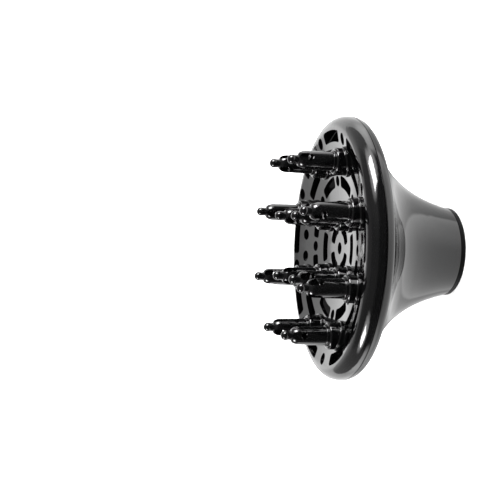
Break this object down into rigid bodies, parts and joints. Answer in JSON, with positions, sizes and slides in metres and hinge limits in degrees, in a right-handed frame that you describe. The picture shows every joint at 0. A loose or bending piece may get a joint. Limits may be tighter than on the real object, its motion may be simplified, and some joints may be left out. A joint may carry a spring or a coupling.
{
  "type": "dryer diffuser",
  "caption": "Flared hair dryer diffuser with a dished, perforated front cover, hollow plug-in fingers and a turning collar that slips over the dryer's barrel.",
  "frame": {"origin": "centre of the mouth that slips over the dryer's barrel, on the plane of its end face", "axes": "+Z along the duct's axis, from the mouth towards the fingers; +X through a slot of the grille's outermost ring"},
  "size_m": [0.152, 0.152, 0.1058],
  "materials": {
    "shell_black": "gloss moulded",
    "cover_black": "gloss moulded",
    "finger_black": "gloss moulded",
    "collar_black": "semi-gloss moulded"
  },
  "bodies": {
    "diffuser": {"rear_shell": "shell_black", "front_cover": "cover_black", "finger_outer_1": "finger_black", "finger_outer_2": "finger_black", "finger_outer_3": "finger_black", "finger_outer_4": "finger_black", "finger_outer_5": "finger_black", "finger_outer_6": "finger_black", "finger_outer_7": "finger_black", "finger_outer_8": "finger_black", "finger_inner_1": "finger_black", "finger_inner_2": "finger_black", "finger_inner_3": "finger_black", "finger_inner_4": "finger_black"},
    "collar": {"collar_ring": "collar_black"}
  },
  "joints": [
    {"name": "collar_turn", "type": "hinge", "parent": "diffuser", "child": "collar", "pos_m": [0, 0, 0.01], "axis": [0, 0, 1], "continuous": true}
  ]
}
